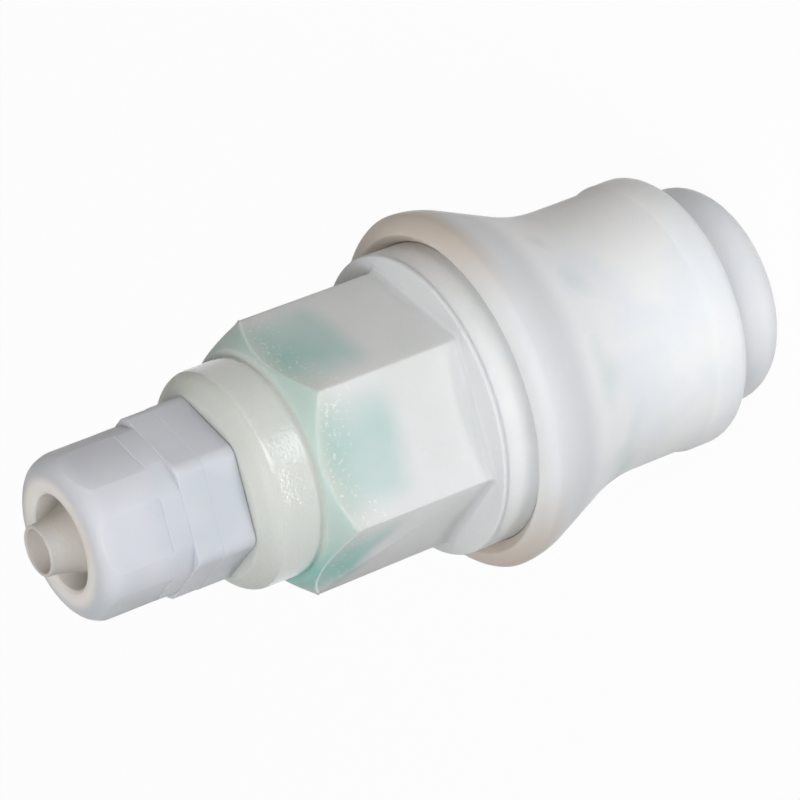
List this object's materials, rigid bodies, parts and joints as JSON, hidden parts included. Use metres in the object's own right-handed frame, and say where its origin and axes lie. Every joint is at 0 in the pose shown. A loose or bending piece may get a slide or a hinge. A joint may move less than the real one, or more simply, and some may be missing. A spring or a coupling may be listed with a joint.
{
  "type": "plastic quick disconnect coupling",
  "caption": "Tube quick coupling socket: pull-back sleeve with locking balls, sprung shut-off valve, hexagon body and a union nut over a hose nozzle.",
  "frame": {"origin": "centre of the mating face, on the coupling's axis", "axes": "+Z along the axis from the mating end up to the hose nozzle; a flat of the large hexagon faces -Y"},
  "size_m": [0.0334, 0.0334, 0.0732],
  "materials": {
    "body_plastic": "moulded natural plastic, milky white, satin",
    "ring_plastic": "moulded natural plastic, milky white, satin",
    "sleeve_plastic": "moulded natural plastic, cold milky white, slightly translucent",
    "adapter_plastic": "moulded natural plastic, warm milky white, translucent enough to show the seal inside",
    "nut_plastic": "moulded natural plastic, greyish white, translucent",
    "valve_plastic": "moulded natural plastic",
    "seal_rubber": "dull teal green rubber",
    "joint_rubber": "dull black rubber",
    "spring_steel": "drawn stainless wire",
    "ball_steel": "polished stainless steel"
  },
  "bodies": {
    "socket": {"socket_body": "body_plastic", "front_ring": "ring_plastic", "plug_seal": "seal_rubber", "joint_seal": "joint_rubber", "adapter": "adapter_plastic"},
    "sleeve": {"sleeve": "sleeve_plastic", "sleeve_spring": "spring_steel"},
    "valve": {"valve_stem": "valve_plastic", "valve_seal": "seal_rubber", "valve_head": "valve_plastic", "valve_spring": "spring_steel"},
    "nut": {"union_nut": "nut_plastic"},
    "ball_1": {"locking_ball_1": "ball_steel"},
    "ball_2": {"locking_ball_2": "ball_steel"},
    "ball_3": {"locking_ball_3": "ball_steel"},
    "ball_4": {"locking_ball_4": "ball_steel"},
    "ball_5": {"locking_ball_5": "ball_steel"},
    "ball_6": {"locking_ball_6": "ball_steel"}
  },
  "joints": [
    {"name": "sleeve_slide", "type": "slide", "parent": "socket", "child": "sleeve", "axis": [0, 0, 1], "range_m": [0, 0.004], "stiffness_N_per_m": 500, "springref_m": -0.006, "deforming": ["sleeve_spring"]},
    {"name": "valve_slide", "type": "slide", "parent": "socket", "child": "valve", "axis": [0, 0, 1], "range_m": [0, 0.003], "stiffness_N_per_m": 1300, "springref_m": -0.002, "deforming": ["valve_spring"]},
    {"name": "nut_turn", "type": "hinge", "parent": "socket", "child": "nut", "pos_m": [0, 0, 0.0637], "axis": [0, 0, 1], "range_deg": [0, 360]},
    {"name": "ball_1_slide", "type": "slide", "parent": "socket", "child": "ball_1", "axis": [1, 0, 0], "range_m": [0, 0.0008]},
    {"name": "ball_2_slide", "type": "slide", "parent": "socket", "child": "ball_2", "axis": [0.5, 0.866, 0], "range_m": [0, 0.0008]},
    {"name": "ball_3_slide", "type": "slide", "parent": "socket", "child": "ball_3", "axis": [-0.5, 0.866, 0], "range_m": [0, 0.0008]},
    {"name": "ball_4_slide", "type": "slide", "parent": "socket", "child": "ball_4", "axis": [-1, 0, 0], "range_m": [0, 0.0008]},
    {"name": "ball_5_slide", "type": "slide", "parent": "socket", "child": "ball_5", "axis": [-0.5, -0.866, 0], "range_m": [0, 0.0008]},
    {"name": "ball_6_slide", "type": "slide", "parent": "socket", "child": "ball_6", "axis": [0.5, -0.866, 0], "range_m": [0, 0.0008]}
  ],
  "couplings": [
    {"joint": "ball_1_slide", "follows": "sleeve_slide", "ratio": 0.2},
    {"joint": "ball_2_slide", "follows": "sleeve_slide", "ratio": 0.2},
    {"joint": "ball_3_slide", "follows": "sleeve_slide", "ratio": 0.2},
    {"joint": "ball_4_slide", "follows": "sleeve_slide", "ratio": 0.2},
    {"joint": "ball_5_slide", "follows": "sleeve_slide", "ratio": 0.2},
    {"joint": "ball_6_slide", "follows": "sleeve_slide", "ratio": 0.2}
  ]
}
